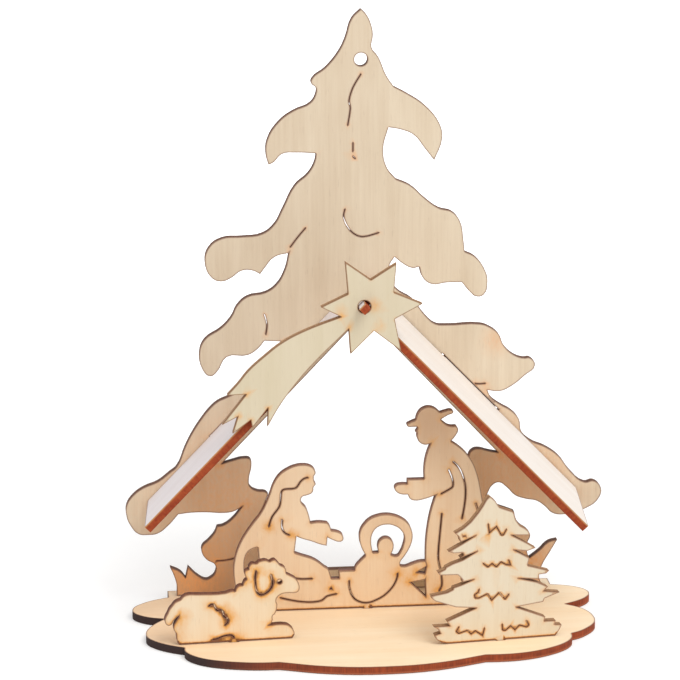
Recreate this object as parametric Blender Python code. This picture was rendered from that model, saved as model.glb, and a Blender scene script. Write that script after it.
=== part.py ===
"""Wooden nativity stable: eight pieces cut from thin plywood that plug together.

A cloud-shaped base carries a tall fir-tree panel with a gabled opening, a panel of figures
under the roof, a sheep and a small fir. Two roof planks plug into the tree, and a comet
hangs on a square peg of the left plank.

The constants are millimetres. +Z is up, the front looks along -Y, and the origin is the
centre of the base's underside. Heights in the upright outlines are drawn from the bench up,
so the base's top face is at FLOOR in them.
"""
from math import atan2, cos, pi, radians, sin, tan

import bpy
from mathutils import Matrix, Vector

MM = 0.001

# Sheet and fits
PLY = 3.0             # thickness of the plywood that every piece is cut from
KERF = 0.4            # width of the slits in the figures and the sheep
FINE_KERF = 0.25      # width of the slits in the tree and the small fir
SIDE_GAP = 0.15       # play on each side of a tenon in its slot
ROOF_GAP = 0.05       # play above and below a roof tenon
SEAT_GAP = 0.2        # gap between a piece and the face that it stands against
TENON_REST = 0.2      # how far a tenon stays above the bench
CURVE_STEPS = 4       # straight steps in each curved stretch of an outline
FLOOR = 3.3           # height at which the upright outlines are drawn to stand
LIFT = PLY - FLOOR + SEAT_GAP  # what the drawn pieces rise by to stand on the real base

# Base
BASE_DRAWN_HALF_DEPTH = 45.9  # half depth that the base's outline is drawn for
BASE_HALF_DEPTH = 45.9
TONGUE_HALF_WIDTH = 75.4

# Where the upright pieces stand: the depth of their front faces
TREE_FRONT = BASE_HALF_DEPTH - 6.5
FAMILY_FRONT = TREE_FRONT - 21.4
SHEEP_PLACE = (-53.4, -14.3)
SHEEP_TURN = 4.0
FIR_PLACE = (46.0, -22.6)
FIR_TURN = 6.5

# Tenons under the upright pieces
TAB_WIDTH = 3.4
TREE_TAB_WIDTH = 10.0
TREE_TAB_X = 60.0
FAMILY_TAB_X = 0.4
SHEEP_TAB_X = 0.2
FIR_TAB_X = -0.1

# Tree
LEG_DRAWN_HEIGHT = 56.7  # height of the legs above the floor that their outline is drawn for
LEG_BELOW_RIDGE = 69.6   # where the legs end under the crown
HANGING_HOLE_ABOVE_RIDGE = 83.3
HANGING_HOLE_RADIUS = 2.5
RAIL_TOP = 12.0
OPENING_BELOW_RIDGE = 15.3
OPENING_HALF_WIDTH = 54.0
OPENING_BELOW_LEFT_EAVE = 15.9
OPENING_BELOW_RIGHT_EAVE = 17.1

# Roof
RIDGE_X = 1.2         # where the two upper faces would meet, on the tree's front face
RIDGE_HEIGHT = 129.6
ROOF_SLOPE = 46.1
ROOF_LEAN = 5.2       # both planks rock to the left in their slots, about their back edges
ROOF_LENGTH = 121.0
ROOF_DEPTH = 41.2
ROOF_TENON = 29.0     # length of the tenon along the slope
ROOF_TENON_PLAY = 3.2  # what the slot is longer than the tenon
LEFT_TENON_MIDDLE = 70.2
RIGHT_TENON_MIDDLE = 59.9

# Peg and comet
PEG_FROM_RIDGE = 4.2
PEG_OUT = 6.0
COMET_HOLE_RADIUS = 2.45

LEFT = -1
RIGHT = 1


def corner(x, z):
    """A sharp point of an outline."""
    return (x, z, "VECTOR")


def roof_height(side, x):
    """Height of the roof's upper face at x from the ridge, on the tree's front face."""
    return -side * (x - RIDGE_X) * tan(radians(ROOF_SLOPE))


def above_roof(side, x, rise):
    """A point of the tree's outline that keeps its distance from the roof."""
    return (x, roof_height(side, x) + rise)


# Outlines of the tree, counter-clockwise from its tip: the crown's heights are from the
# ridge, the legs' heights from the bench
CROWN_LEFT = [
    corner(0, 102.3), (-3.5, 98.8), (-6, 91.3), (-8.5, 86.3), (-13.5, 80.3), (-18.5, 76.3),
    (-18.8, 74.6), (-17, 72.8), (-17, 70.8), (-19, 67.3), (-25.5, 64.3), (-31, 60.3),
    (-35.5, 53.3), (-36, 47.8), corner(-35, 43.8), (-33, 44.8), (-30, 47.8), (-24.5, 48.3),
    corner(-17, 47.8), (-17.5, 44.8), (-20, 40.3), (-25, 35.8), (-30, 26.3), (-33, 20.8),
    (-37.5, 17.3), (-45.5, 16.3), (-53, 15.8), (-58, 12.3), (-59.5, 6.6), (-57, 0.6),
    (-53.5, -0.9), (-50, 0.1), (-45.5, 3.1), (-41.5, 3.1), corner(-38.5, 1.6), (-37, 3.6),
    (-33, 8.1), corner(-27.5, 9.6), (-29, 3.1), (-32.5, -2.9), (-36.5, -5.6), (-43.5, -7.1),
    (-47.5, -10.6), (-49.5, -14.6), (-53.5, -19.1), (-60, -23.6), (-62, -28.6), (-61, -35.1),
    (-58, -38.1), (-55.5, -36.6), (-51.5, -30.6), (-43.5, -30.1), (-39.5, -27.6),
    corner(-37, -24.6), corner(-30, -25.1), above_roof(LEFT, -35, 6.5), above_roof(LEFT, -42, 5.8),
    above_roof(LEFT, -47, 5.8), above_roof(LEFT, -51.5, 8.2), (-55, -48.1), (-58, -50.6),
    (-62, -55.6), (-65.5, -61.1), (-68, -66.1),
]
LEG_LEFT = [
    (-71.5, 55.5), (-74, 53.5), (-78.5, 50), (-84.5, 47.5), (-88.5, 44.5), (-91, 40.5),
    (-91, 36.5), (-89.5, 32.5), (-86.5, 29), (-83, 28.5), (-79, 29), (-75, 32),
    corner(-71, 36.5), (-66.5, 37), (-60, 37), (-53.5, 36.5), (-49.5, 37), corner(-46, 39),
    (-50, 34), (-53.5, 31.5), corner(-56, 31), (-57, 28.5), (-59.5, 25.5), (-62, 23),
    (-62, 20.5), (-60, 17.5), (-57, 15.5), (-57, 12), (-59, 10), (-60.5, 9.5), (-63.5, 11),
    corner(-67.5, 15), corner(-68.5, 10.5), (-70.5, 13), corner(-74.5, 15), (-73, 11.5),
    (-72, 7.5), corner(-72, FLOOR),
]
LEG_RIGHT = [
    corner(72, FLOOR), (71, 6), (72.2, 11), (75, 16), corner(78, 21.2), (74.5, 20.3),
    (71, 17), corner(67, 13.9), (66.1, 16.4), (66.1, 20.2), (67.2, 23.5), (65.9, 25.6),
    (63.2, 27.6), (61.6, 29.8), corner(60.6, 33.4), (55.7, 35.3), corner(48.7, 37.5),
    (50, 41), (52, 44.5), (54.5, 45.5), (57.5, 43.5), (61, 40), (65, 38.5), (69.5, 37.5),
    (73, 35), (75.5, 32.5), (79.5, 31.5), (89.5, 34), (94, 37.5), (95, 42), (92, 45),
    (88.5, 44.5), (82.5, 49.5), (78, 55.5), (72.5, 59.5),
]
CROWN_RIGHT = [
    (67, -67.6), (63, -63.6), (62, -58.6), (59, -55.1), above_roof(RIGHT, 54.5, 3),
    above_roof(RIGHT, 50.8, 2.2), corner(49.5, -46.6), (54.5, -47.1), (59, -45.1), (64, -41.1),
    (68, -37.1), (66, -34.1), (63.5, -34.1), (59.5, -32.6), (55.5, -28.6), (53.5, -24.1),
    (49.5, -21.1), (46.5, -20.1), (33, -20.1), (29, -19.6), (25, -16.1), (20, -9.6),
    (14, -5.6), (11.5, -1.4), (11, 3.6), corner(13, 7.1), (16, 4.6), (20, 2.6),
    corner(22.5, 3.1), (24, -1.4), (27.5, -3.9), (33, -3.4), corner(39, -3.4), (42.5, -7.6),
    (44.5, -9.1), (47.5, -8.6), (49, -3.4), (48, 1.1), (44, 6.6), corner(40, 8.6),
    (39.5, 13.3), (38, 20.8), (35, 24.3), (30, 25.8), (24.5, 29.8), (19, 34.8),
    corner(13.5, 37.3), (10, 41.8), (8.5, 48.8), corner(10.5, 57.3), (15.5, 56.3), (20, 54.3),
    (24.5, 48.8), corner(28, 44.3), (31, 52.8), (30, 58.3), (24.5, 65.3), (18, 69.8),
    corner(12.5, 72.8), (9.5, 77.3), (6.5, 84.3), (4, 87.8), (4.5, 92.3), (4, 95.8), (2, 100.3),
]
OPENING_LEFT_LEG = [
    (-49.7, 57.6), (-45.2, 58.5), (-42.9, 58), (-42.4, 56), (-43.5, 49.5), (-43, 46.8),
    (-40.1, 45), (-37, 44.5), corner(-36, 43.5), (-39.5, 35.5), (-42.5, 31.5), (-43, 28.5),
    (-40.5, 25.5), (-37, 22.5), (-34.5, 17.5), (-30, 14.5), corner(-23.5, RAIL_TOP),
]
OPENING_RIGHT_LEG = [
    corner(23.5, RAIL_TOP), (30, 14.5), (34.5, 17.5), (37, 22.5), (40.5, 25.5), (43, 28.5),
    (42.5, 31.5), (39.5, 35.5), corner(36, 43.5), (40.5, 46), (42.5, 50), (42.5, 57),
    (44, 59), (46, 59.5), (50, 58.5),
]
CROWN_SLITS = [
    [(0, 77.8), (-3, 72.8), (-4.5, 67.8), (-4, 64.8), (-5, 58.3)],
    [(-3, 51.8), (-3, 48.3)],
    [(-3, 46.4), (-2, 45.5)],
    [(-6, 26.3), (-6.5, 22.8), (-4, 17.8), (0.5, 15.3), (7, 16.8)],
    [(-21, 19.3), (-24, 15.8), (-27, 11.8)],
    [(-37, -14.1), (-36, -18.1), (-36.5, -22.1)],
    [(44.6, -43.8), (46.5, -44), (48.7, -43.8)],
]
LEG_SLIT = [(-56.5, 17), (-52, 17.3), (-47, 18.6)]

# Outline of the panel of figures, counter-clockwise from the standing figure's hat
STANDING_FIGURE_FRONT = [
    (25.8, 82.4), (23.9, 82.9), (22.1, 82.6), (20.4, 81.5), (19.3, 79.7), corner(18.8, 77.8),
    (16.8, 77), (15.4, 76), corner(16, 75.2), corner(19.5, 75.2), (19.5, 74.4),
    corner(18.7, 73.1), corner(19.4, 72.7), (19.3, 71), (20.4, 68.9), (22.4, 68),
    corner(24.6, 68.4), (23.4, 65.3), (22.5, 61.8), (22.1, 58), corner(22.2, 54.3),
    corner(15.7, 54.3), corner(15.7, 52.5), (13.3, 52.6), (11.4, 52.1), (10.8, 50.8),
    (11.7, 49.4), (13.6, 48.5), corner(15.9, 48.4), (16.8, 46.6), (18.6, 45.9),
    (22, 46.3), corner(26.7, 47.8), (25.6, 44.4), (24.4, 39.8), (23.6, 35.1),
    (23.1, 30.7), (22.9, 26.2), corner(22.9, 21.3),
]
CRIB_AND_HALO = [
    (20.7, 21.2), (17.9, 20.4), (15.1, 19.4), corner(13.2, 19.6), (13.1, 21.2),
    (14.7, 23.6), (16.6, 26.8), (17.8, 30.7), (17.5, 34), (16.1, 36.8), (13.2, 39.1),
    (10, 40.3), (6.8, 40.6), (4, 40.1), (1.5, 39.1), (-0.8, 37), (-2.3, 34.5),
    (-2.7, 31.2), (-1.8, 27.4), corner(-0.2, 24.3), (-2.7, 21.8), (-4.2, 19.9),
    corner(-4.5, 18.4), corner(-10.6, 18.4), corner(-10.4, 15.4), corner(-13.5, 15.4),
]
KNEELING_FIGURE = [
    (-14.1, 17.8), (-14.8, 19.5), (-16, 20.3), (-18.5, 22.4), (-21, 23.9), (-25.2, 25.4),
    corner(-27.7, 26.4), corner(-26.9, 33), (-25.2, 32.2), (-21, 30.8), (-17.5, 29.4),
    corner(-15.3, 28.9), corner(-15, 32.2), (-12.7, 31), (-10.4, 30.3), (-9.1, 30.8),
    (-9.1, 32.8), (-10.6, 34.1), corner(-13.5, 34.8), (-14, 36.6), corner(-15, 38),
    (-18.5, 38.4), corner(-21.5, 38.1), (-21.7, 39.6), (-22.3, 42), (-23.3, 44.5),
    (-25, 46.6), (-24.8, 48.6), (-22.6, 49.4), (-20.9, 50.2), (-20.4, 51.3),
    corner(-20.4, 52.2), corner(-20.1, 52.8), corner(-19.4, 53.6), (-20.1, 55.2),
    corner(-20.2, 56.8), (-19.5, 58), (-20, 59.6), (-21.6, 60.9), (-24.8, 61.4),
    (-27.5, 61), (-30, 60), (-33.2, 57.8), (-35.6, 54.2), (-37.1, 50), (-38.5, 46.5),
    (-40.3, 43), (-43.9, 38.2), (-46.4, 34.6), (-48.7, 30.4), (-50.2, 26.2), (-51, 21.9),
    (-51, 18), (-50.4, 13), corner(-48.5, FLOOR),
]
STANDING_FIGURE_BACK = [
    corner(47, FLOOR), (47.2, 18), (46.6, 32), (44.8, 45), (44, 49.6), (42.7, 55.5),
    (40.8, 60.4), (38.5, 63.9), (35.8, 66.6), corner(32.3, 69.1), (34, 71.1), (35.1, 73.7),
    corner(34.4, 75), (31.6, 75.2), (29.7, 76.4), corner(28.3, 77.8), (31, 79.4),
    (33.2, 80.7), (32.3, 81.4), (30.2, 81.1), corner(28.1, 80.5), (27.1, 81.5),
]
HALO_WINDOW = [
    corner(2.5, 25.3), (1.8, 30.3), (2.4, 33.3), (4.1, 35.5), (7.4, 36.6), (11, 35.9),
    (13.6, 33.8), (14.7, 31), (14.3, 28.2), (13.2, 25.3), (11.9, 23.7), corner(9.4, 24.3),
    (10.5, 27.3), (10, 29.9), (7.8, 31.3), (5.4, 30.4), (4.4, 28.3), corner(4.7, 25.4),
]
VEIL_WINDOW = [
    corner(-41.7, 29.2), (-43.7, 28.7), (-45.6, 27.3), (-46.7, 25), (-47, 22), (-46.7, 19),
    (-45.4, 16.2), (-43, 14.3), corner(-40.6, 13.6), (-40.9, 19),
]
ROBE_WINDOWS = [
    [corner(19.3, 16.8), corner(22.8, 16.2), corner(23.4, 19.3)],
    [corner(17.1, 12.9), corner(23.2, 6.8), corner(22.9, 13.9)],
    [corner(-14.2, 11.2), corner(-13.1, 11.2), corner(-13.6, 12.1)],
]
FAMILY_SLITS = [
    [(-22.3, 56.4), (-23.9, 56), (-25.4, 54.7), (-27.2, 52.3), (-31.4, 52), (-32.6, 50.8),
     (-32.9, 47.8), (-33.5, 44.9), (-36.2, 41.2), (-37.5, 37.2)],
    [(-32.3, 39.9), (-32.4, 36.6), (-31.4, 34.6), (-29.5, 33.6)],
    [(-28.5, 16.5), (-25.2, 15.8), (-20.8, 15.8)],
    [(-33.3, 8.5), (-29.3, 7.4), (-25.2, 6.6), (-21, 6.3), (-17.3, 6.8), (-15.2, 8.5), (-11.4, 9.3)],
    [(-6.6, 14.5), (-6.6, 12), (-5.8, 9.1), (-4.3, 6.8), (-1.8, 5.5), (0.7, 5.3), (3.2, 6),
     (6.8, 7.9), (10.1, 11.2), (11.8, 14.6), (12.1, 16.8)],
    [(31.6, 57.8), (33.1, 54), (33.3, 51.6), (32.6, 50.4), (28.7, 48.2)],
    [(33.2, 61), (35.6, 58.4), (37.3, 54.6), (38.2, 49.6), (37.9, 44), (36.9, 37.9)],
    [(29.1, 40.4), (28.7, 35.7), (27.8, 23.4), (28.7, 17.9), (29.4, 11.8), (28.2, 9)],
    [(42.2, 44), (43.2, 40.6)],
]

# Outline of the sheep, counter-clockwise from its poll, u along the panel
SHEEP_OUTLINE = [
    (12.3, 34.4), corner(9.7, 34), (9, 33.3), (7.1, 33.4), corner(6, 32.1), corner(6, 31.2),
    (4.6, 30.6), (4.5, 29.2), corner(5.3, 27.4), (4.3, 26.6), corner(3.7, 25), (2.4, 25),
    (1.4, 24.2), corner(0.8, 22.8), (0, 23.1), (-3, 22.4), (-13, 22.5), (-17.3, 22.6),
    (-18.7, 21.9), corner(-19.6, 20.8), (-20.5, 20.5), (-21.7, 19.9), (-22.8, 18.6),
    (-23.9, 17.2), corner(-24.5, 15.8), (-25.5, 13.8), (-25.6, 12.6), (-25, 11.4),
    (-24.1, 11), (-23, 11.5), (-22.3, 12.9), corner(-20.1, 14.8), (-21.2, 13),
    (-22, 11.6), (-22.4, 10), (-21.9, 8.3), corner(-21.4, 7.8), (-21.3, 6), (-21, 4.2),
    corner(-20.4, FLOOR),
]
SHEEP_FRONT = [
    corner(22.2, FLOOR), (23, 4.7), (22.7, 6.3), (21.3, 8), (20, 8.7), corner(13, 8.8),
    (14.2, 9.5), corner(14.8, 11), (14.8, 12.4), corner(15.6, 13.1), (16.3, 14.7),
    corner(16.6, 17), (16.2, 18), corner(16.3, 19.2), (17.3, 20.3), (18.9, 21), (21, 21.1),
    (23, 21), (24.5, 21.5), (25, 22.8), (24.7, 24.7), (23.7, 26.5), (21.8, 27.8),
    corner(20, 28.8), (19.8, 30.7), corner(18.9, 31.7), (17.8, 32.2), corner(16.9, 33.4),
    (15.6, 34.4), corner(13.8, 33.7),
]
SHEEP_EYE = (17.5, 25.7)
SHEEP_EYE_RADIUS = 0.9
SHEEP_SLITS = [
    [(8.7, 30.5), (8.3, 27.7), (8.5, 25), (8.9, 22.3), (10.3, 21), (12.3, 21.5), (14.2, 23.3),
     (14.9, 25.7), (14.2, 28.8)],
    [(-9.3, 17.7), (-8.3, 18.3), (-7.2, 18.2), (-6.2, 15.9), (-4.7, 16), (-3.7, 14.7),
     (-3.5, 13.3), (-2.2, 12.5), (-2.1, 11), (-3.3, 9.8)],
    [(-7.8, 4.6), (-6.3, 4.7), (-4.3, 5.5), (-2.3, 5.9), (-0.7, 5.8), (0.3, 4.8)],
]

# Outline of the small fir, counter-clockwise from its tip, all of it straight cuts
FIR_OUTLINE = [
    (-4.8, 59.6), (-6.1, 58.4), (-7.4, 56.1), (-9.1, 53.6), (-12, 50.1), (-14.8, 47.8),
    (-18, 46.1), (-16.6, 44.9), (-15.8, 42.7), (-9.9, 44.9), (-15.3, 41.8), (-18, 40.4),
    (-20.4, 39.2), (-18.6, 38.5), (-14.9, 38.5), (-14.5, 37.5), (-16, 36.5), (-9.3, 38.7),
    (-14.8, 35.6), (-18.7, 34.4), (-21.3, 33.2), (-21.6, 32.4), (-24.3, 31.3), (-23.6, 30.3),
    (-16.8, 30), (-15.9, 29.1), (-15, 28), (-15, 27), (-10.5, 27.8), (-15.2, 25.9),
    (-18.4, 25), (-18.5, 24.3), (-20.7, 23.3), (-26.8, 22.4), (-26.5, 21.3), (-25.3, 20.3),
    (-17.4, 17.4), (-9.4, 16.5), (-20.8, 12), (-19.6, 10.2), (-25.8, 10.3), (-24, 9.1),
    (-23.1, 7.5), (-25.4, 6.9), (-24.7, 5.3), (-22.9, 4), (-20.6, FLOOR),
]
FIR_RIGHT = [
    (21.3, FLOOR), (23, 5.8), (23.6, 7.4), (20.9, 7.7), (21.3, 9.2), (16.8, 9.3),
    (17.2, 11), (5.7, 15.7), (16.3, 17), (16.8, 18.3), (22.6, 20.3), (16.4, 21.2),
    (18, 22.8), (13.8, 24.9), (6.3, 27), (14.5, 26.1), (14.5, 27.9), (17.2, 28.1),
    (18.4, 29.1), (10, 31.7), (10.7, 34.6), (4.5, 38.2), (9.7, 37.4), (13, 38.4),
    (9.8, 40.4), (3.6, 44), (10.7, 43.5), (10.3, 45), (8.8, 46.3), (6.8, 47.5),
    (5.1, 50), (4.6, 52), (4.2, 53), (0.1, 54.6), (-1.2, 55.2), (-2.8, 57.8),
]
FIR_ZIGZAGS = [
    [(-5.4, 49.1), (-4.9, 45.5), (-2.2, 47.8), (-0.3, 44.3), (0.5, 44.3), (1.7, 46.6)],
    [(-7.2, 33.9), (-5.3, 32.2), (-3.7, 33.5), (-2, 32), (-0.3, 33.9), (1.8, 32.6), (3.4, 32.4),
     (2.7, 34.5)],
    [(-8.5, 23.9), (-8.9, 22.6), (-10.3, 21.8), (-10.1, 20.5), (-8.7, 20.3), (-5.3, 21.8),
     (-3.7, 19.1), (-0.8, 22), (1.5, 19.1), (3, 21)],
    [(-16.1, 9.7), (-17.2, 7.8), (-16.2, 7), (-12.8, 8), (-11.4, 6.4), (-9.9, 7.6), (-7, 5.5),
     (-6.3, 8.5)],
    [(0.5, 9.5), (0.7, 7), (1.8, 6.8), (3.8, 8.5), (5.5, 6.8), (7.2, 8.5), (10.1, 7.5),
     (10.9, 8.3), (9.9, 10.1)],
    [(-15, 44.9), (-13.9, 44.9)],
]

# Outline of the comet about the centre of its hole, clockwise from its upper left tip
COMET_STAR = [
    corner(-7.1, 16.9), corner(2.4, 10), corner(11.8, 16), corner(10.9, 5.1),
    corner(21.5, 0.6), corner(11.2, -4.9), corner(13.7, -17.1), corner(3.6, -9.2),
    corner(-5.1, -17.8), corner(-5.8, -8.2),
]
COMET_TAIL = [
    (-19.8, -22), (-25.9, -29.2), (-31.3, -36.6), corner(-36, -44.7), corner(-35.7, -37.4),
    corner(-41.6, -45), corner(-42.1, -41.9), corner(-48.9, -47), corner(-46.9, -40.5),
    corner(-52.7, -43.5), corner(-43.7, -32.1), corner(-50.8, -32.3), (-46.9, -28.1),
    (-43.1, -23.4), (-36.5, -17.5), (-30.8, -13.1), (-22.4, -8.7), corner(-8.5, -3.6),
    corner(-16, 0.2), corner(-6, 4.9),
]

# Plan of both halves of the base, each from the middle of its front lobe round to the back
BASE_RIGHT = [
    (20, -43.7), corner(38.2, -37.3), (45, -37.5), (51.5, -36.8), (58.3, -34.8), (64.2, -31.8),
    (68.6, -28.6), (71.6, -25.2), (73.3, -21.6), corner(73.7, -17.8), (77.4, -15.7), (81, -12.1),
    (83.6, -8.6), (85.2, -4.6), (85.5, 0), (84.6, 5.4), (82.1, 10.3), corner(77, 14.9),
    (83.6, 19), (87, 22.6), (88.7, 26.4), (88.2, 30.6), (85.4, 34.2), (80.5, 37), corner(76, 38.3),
    corner(TONGUE_HALF_WIDTH, 38.4), corner(TONGUE_HALF_WIDTH, BASE_DRAWN_HALF_DEPTH),
]
BASE_LEFT = [
    (20, -43.7), corner(38.2, -37.3), (45, -37.2), (52.3, -36), (59.8, -33.7), (65, -31.1),
    (68.6, -28), (71.1, -24.4), (72, -21.4), corner(71.9, -18.4), (75.4, -16.6), (79.8, -13.4),
    (83, -10), (85.2, -6), (85.6, -1.8), (84.7, 2.8), (82.1, 8), corner(77.8, 13.8),
    (83.4, 15.8), (87.4, 18.9), (89.4, 22), (89.8, 25.2), (88.7, 28.8), (86, 32),
    (82, 35.2), corner(76, 38.1), corner(TONGUE_HALF_WIDTH, 38.3),
    corner(TONGUE_HALF_WIDTH, BASE_DRAWN_HALF_DEPTH),
]


def scaled(point):
    """A drawn point in metres, keeping the mark of a corner."""
    return (point[0] * MM, point[1] * MM) + tuple(point[2:])


def mirrored(point):
    """The same point on the other side of the middle."""
    return (-point[0],) + tuple(point[1:])


def moved(points, x, z):
    """An outline moved by x and z."""
    return [(point[0] + x, point[1] + z) + tuple(point[2:]) for point in points]


def from_ridge(points):
    """An outline of the crown at its real height."""
    return moved(points, 0, RIDGE_HEIGHT)


def with_legs(points):
    """An outline of the legs, stretched to reach from the floor to the crown."""
    share = (RIDGE_HEIGHT - LEG_BELOW_RIDGE - FLOOR) / LEG_DRAWN_HEIGHT
    return [(point[0], FLOOR + (point[1] - FLOOR) * share) + tuple(point[2:]) for point in points]


def with_depth(points):
    """An outline of the base, drawn deeper or shallower with its half depth."""
    share = BASE_HALF_DEPTH / BASE_DRAWN_HALF_DEPTH
    return [(point[0], point[1] * share) + tuple(point[2:]) for point in points]


def all_corners(points):
    """An outline of straight cuts."""
    return [corner(x, z) for x, z in points]


def add_outline(curve, points):
    """Add one closed outline: curved through plain points, sharp at corners."""
    spline = curve.splines.new("BEZIER")
    spline.bezier_points.add(len(points) - 1)
    for knot, point in zip(spline.bezier_points, points):
        drawn = scaled(point)
        kind = drawn[2] if len(drawn) > 2 else "AUTO"
        knot.co = (drawn[0], drawn[1], 0)
        knot.handle_left_type = kind
        knot.handle_right_type = kind
    spline.use_cyclic_u = True


def smooth_line(points, steps=3):
    """Points along a curve through the given points (a Catmull-Rom curve)."""
    ends = [points[0]] + list(points) + [points[-1]]
    line = []
    for before, start, end, after in zip(ends, ends[1:], ends[2:], ends[3:]):
        for step in range(steps):
            t = step / steps
            line.append(tuple(
                0.5 * (2 * b + (c - a) * t + (2 * a - 5 * b + 4 * c - d) * t * t
                       + (3 * b - 3 * c + d - a) * t ** 3)
                for a, b, c, d in zip(before, start, end, after)))
    line.append(points[-1])
    return line


def slit(line, width=KERF):
    """The closed outline of a narrow cut of one width along an open line."""
    left = []
    right = []
    last = len(line) - 1
    for i, (x, z) in enumerate(line):
        arrive = atan2(z - line[i - 1][1], x - line[i - 1][0]) if i else None
        leave = atan2(line[i + 1][1] - z, line[i + 1][0] - x) if i < last else arrive
        arrive = leave if arrive is None else arrive
        bend = (leave - arrive + pi) % (2 * pi) - pi
        across = arrive + bend / 2 + pi / 2
        reach = width / 2 / max(cos(bend / 2), 0.5)
        left.append((x + cos(across) * reach, z + sin(across) * reach))
        right.append((x - cos(across) * reach, z - sin(across) * reach))
    return all_corners(left + right[::-1])


def circle(centre, radius, points=16):
    """A round hole, as the curve through points on its rim."""
    angles = [2 * pi * i / points for i in range(points)]
    return [(centre[0] + radius * cos(a), centre[1] + radius * sin(a)) for a in angles]


def tab(x, width):
    """A tenon below an upright outline."""
    low = FLOOR - PLY + TENON_REST
    half = width / 2
    return [corner(x - half, FLOOR), corner(x - half, low),
            corner(x + half, low), corner(x + half, FLOOR)]


def slot(centre, width, thickness, turn=0.0):
    """The hole that takes a tenon, turned about the centre of the tenon's face."""
    half = width / 2 + SIDE_GAP
    near = -SIDE_GAP
    far = thickness + SIDE_GAP
    c = cos(radians(turn))
    s = sin(radians(turn))
    return [corner(centre[0] + u * c - v * s, centre[1] + u * s + v * c)
            for u, v in ((-half, near), (half, near), (half, far), (-half, far))]


def plywood(name, colour, roughness=0.6):
    """The plain wood of one piece."""
    material = bpy.data.materials.new(name + "_wood")
    material.use_nodes = True
    shader = material.node_tree.nodes["Principled BSDF"]
    shader.inputs["Base Color"].default_value = (*colour, 1.0)
    shader.inputs["Roughness"].default_value = roughness
    shader.inputs["Metallic"].default_value = 0.0
    return material


def cut_panel(name, outlines, place, colour):
    """One piece cut from the sheet: the outline first, then its holes."""
    curve = bpy.data.curves.new(name, "CURVE")
    curve.dimensions = "2D"
    curve.fill_mode = "BOTH"
    curve.extrude = PLY / 2 * MM
    curve.resolution_u = CURVE_STEPS
    curve.render_resolution_u = 0
    for points in outlines:
        add_outline(curve, points)
    curve.materials.append(plywood(name, colour))
    piece = bpy.data.objects.new(name, curve)
    piece.matrix_world = place
    return piece


def upright(x, front, turn=0.0):
    """Where an upright panel stands: its front face at a depth, its foot on the base."""
    place = Matrix.Translation(Vector((x * MM, front * MM, 0)))
    turned = Matrix.Rotation(radians(turn), 4, "Z")
    middle = Matrix.Translation(Vector((0, PLY / 2 * MM, LIFT * MM)))
    raised = Matrix.Rotation(pi / 2, 4, "X")
    return place @ turned @ middle @ raised


class RoofPlank:
    """One plank: s runs down the slope from the ridge, b forward from the tree, t out of its top."""

    def __init__(self, side, tenon_middle):
        slope = radians(ROOF_SLOPE)
        lean = radians(-side * ROOF_LEAN)
        self.side = side
        self.tenon_middle = tenon_middle
        self.down = Vector((side * cos(slope), 0, -sin(slope)))
        level_out = Vector((side * sin(slope), 0, cos(slope)))
        forward = Vector((0, -1, 0))
        self.forward = cos(lean) * forward + sin(lean) * level_out
        self.out = cos(lean) * level_out - sin(lean) * forward
        self.ridge = Vector((RIDGE_X, TREE_FRONT, RIDGE_HEIGHT))

    def point(self, s, b, t):
        """A place on the plank, at the drawn height."""
        return self.ridge + self.down * s + self.forward * b + self.out * t

    def back(self):
        """Where the plank starts, clear of the tree at both of its faces."""
        reach = max(self.out.y * t for t in (0, -PLY))
        return (SEAT_GAP + reach) / -self.forward.y

    def tenon(self):
        """Both ends of the tenon along the slope."""
        return (self.tenon_middle - ROOF_TENON / 2, self.tenon_middle + ROOF_TENON / 2)

    def tree_slot(self):
        """The hole in the tree that the leaning tenon passes through."""
        level_out = Vector((self.side * sin(radians(ROOF_SLOPE)), 0, cos(radians(ROOF_SLOPE))))
        drift = -PLY * (self.forward @ level_out) / -self.forward.y
        thickness = PLY / (self.out @ level_out)
        high = max(0, drift) + ROOF_GAP
        low = min(0, drift) - thickness - ROOF_GAP
        half = (ROOF_TENON + ROOF_TENON_PLAY) / 2
        corners = []
        for s, n in ((-half, low), (half, low), (half, high), (-half, high)):
            place = self.ridge + self.down * (self.tenon_middle + s) + level_out * n
            corners.append(corner(place.x, place.z))
        return corners

    def matrix(self):
        """Local x down the slope, local y forward, the sheet's middle at local z 0."""
        normal = self.down.cross(self.forward)
        turn = Matrix((self.down, self.forward, normal)).transposed().to_4x4()
        middle = self.point(0, 0, -PLY / 2) + Vector((0, 0, LIFT))
        return Matrix.Translation(middle * MM) @ turn


def ridge_cut(right, left, b):
    """Where the right plank's top end clears the left plank's lower face."""
    ends = []
    for t in (0, -PLY):
        from_left = left.out @ (right.forward * b + right.out * t)
        ends.append((SEAT_GAP + PLY + from_left) / -(left.out @ right.down))
    return max(ends)


def roof_front(planks):
    """Depth of the foremost edge of the planks."""
    return min(plank.point(0, ROOF_DEPTH, t).y for plank in planks for t in (0, -PLY))


def peg_end(left, comet_front):
    """How far forward the peg reaches, measured along the plank."""
    return (left.ridge.y - comet_front + PEG_OUT) / -left.forward.y


def peg_centre(left, comet_front):
    """Middle of the square peg, at the middle of the comet's thickness."""
    depth = (left.ridge.y - comet_front - PLY / 2) / -left.forward.y
    return left.point(PEG_FROM_RIDGE, depth, -PLY / 2)


def back_tenon(plank):
    """The tenon's four corners, drawn down the slope."""
    start, end = plank.tenon()
    back = plank.back()
    tip = -(PLY - SEAT_GAP) / -plank.forward.y
    return [corner(start, back), corner(start, tip), corner(end, tip), corner(end, back)]


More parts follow.
